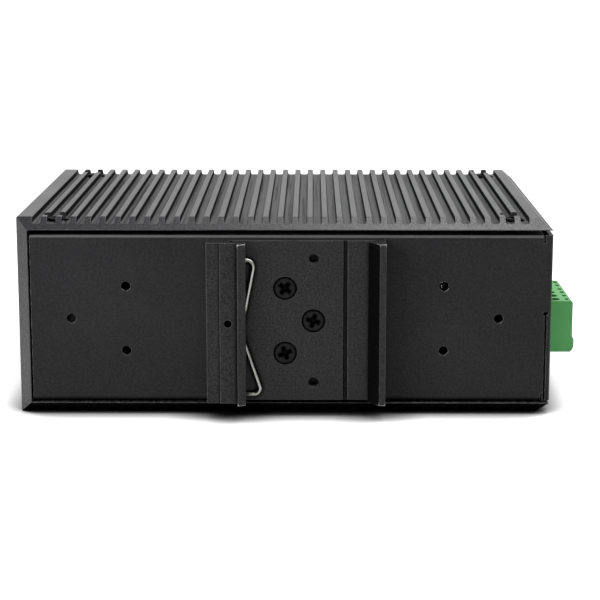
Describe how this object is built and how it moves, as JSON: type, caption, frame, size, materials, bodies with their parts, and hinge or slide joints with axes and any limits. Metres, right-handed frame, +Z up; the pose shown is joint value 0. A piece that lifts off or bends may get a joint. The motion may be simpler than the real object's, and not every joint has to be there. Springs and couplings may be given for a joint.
{
  "type": "serial device server",
  "caption": "Serial device server in a ribbed housing, with a rail clip and bracket holes on its back, ports and lamps in front, and a pull-off power plug at its head.",
  "frame": {"origin": "middle of the whole outline in X and Y, at the height of the surface that the ribs lie on", "axes": "+X from the foot of the mounted unit to its head with the power plug, +Y from the rail side to the side with the ports, +Z up across the unit's width"},
  "size_m": [0.155, 0.1208, 0.0547],
  "materials": {
    "housing": "black textured coat over aluminium, satin",
    "chassis": "black powder coat, fine matte texture",
    "black_screws": "blackened steel, satin",
    "clip": "black anodised aluminium, smooth satin",
    "spring": "bright drawn spring wire",
    "board": "green solder mask on glass laminate",
    "standoffs": "nickel-plated brass",
    "zinc_steel": "zinc-plated steel",
    "package": "black moulding compound",
    "relay": "off-white sealed case",
    "ferrite": "dark grey ferrite, stands in as cast iron",
    "can": "bare drawn aluminium",
    "plug_green": "green moulded polyamide, slightly glossy",
    "header_green": "green moulded polyamide",
    "tinned": "tinned brass",
    "gold": "gold-flashed contact",
    "nickel": "nickel-plated pressed steel",
    "port_plastic": "black glass-filled moulding",
    "clear": "clear light-pipe plastic",
    "lamp": "milky lamp",
    "button": "dark grey plunger"
  },
  "bodies": {
    "case": {"alarm_relay": "relay", "board_screws": "zinc_steel", "clip_screws": "black_screws", "clip_spring": "spring", "cover_screws": "black_screws", "crystal_can": "nickel", "din_clip": "clip", "ethernet_chip": "package", "ethernet_contacts_1": "gold", "ethernet_contacts_2": "gold", "ethernet_insert_1": "port_plastic", "ethernet_insert_2": "port_plastic", "ethernet_shield_1": "nickel", "ethernet_shield_2": "nickel", "flash_chip": "package", "folded_chassis": "chassis", "ground_screw": "zinc_steel", "ground_washer": "zinc_steel", "jack_screws": "nickel", "light_pipes": "clear", "main_board": "board", "memory_chip": "package", "network_transformer": "package", "power_converter": "package", "processor_chip": "package", "reset_switch": "package", "ribbed_housing": "housing", "serial_body_1": "port_plastic", "serial_body_2": "port_plastic", "serial_driver_1": "package", "serial_driver_2": "package", "serial_driver_3": "package", "serial_driver_4": "package", "serial_pins_1": "gold", "serial_pins_2": "gold", "serial_pins_3": "gold", "serial_pins_4": "gold", "serial_shell_1": "nickel", "serial_shell_2": "nickel", "serial_shell_3": "nickel", "serial_shell_4": "nickel", "standoffs": "standoffs", "status_leds": "lamp", "supply_capacitor_1": "can", "supply_capacitor_2": "can", "supply_inductor": "ferrite", "terminal_header": "header_green", "terminal_pins": "tinned"},
    "power_plug": {"terminal_plug": "plug_green", "terminal_clamps": "tinned", "terminal_screws": "zinc_steel"},
    "reset_button": {"reset_button": "button"}
  },
  "joints": [
    {"name": "plug_pull", "type": "slide", "parent": "case", "child": "power_plug", "axis": [1, 0, 0], "range_m": [0, 0.009]},
    {"name": "reset_press", "type": "slide", "parent": "case", "child": "reset_button", "axis": [0, -1, 0], "range_m": [0, 0.0005], "stiffness_N_per_m": 3000}
  ]
}
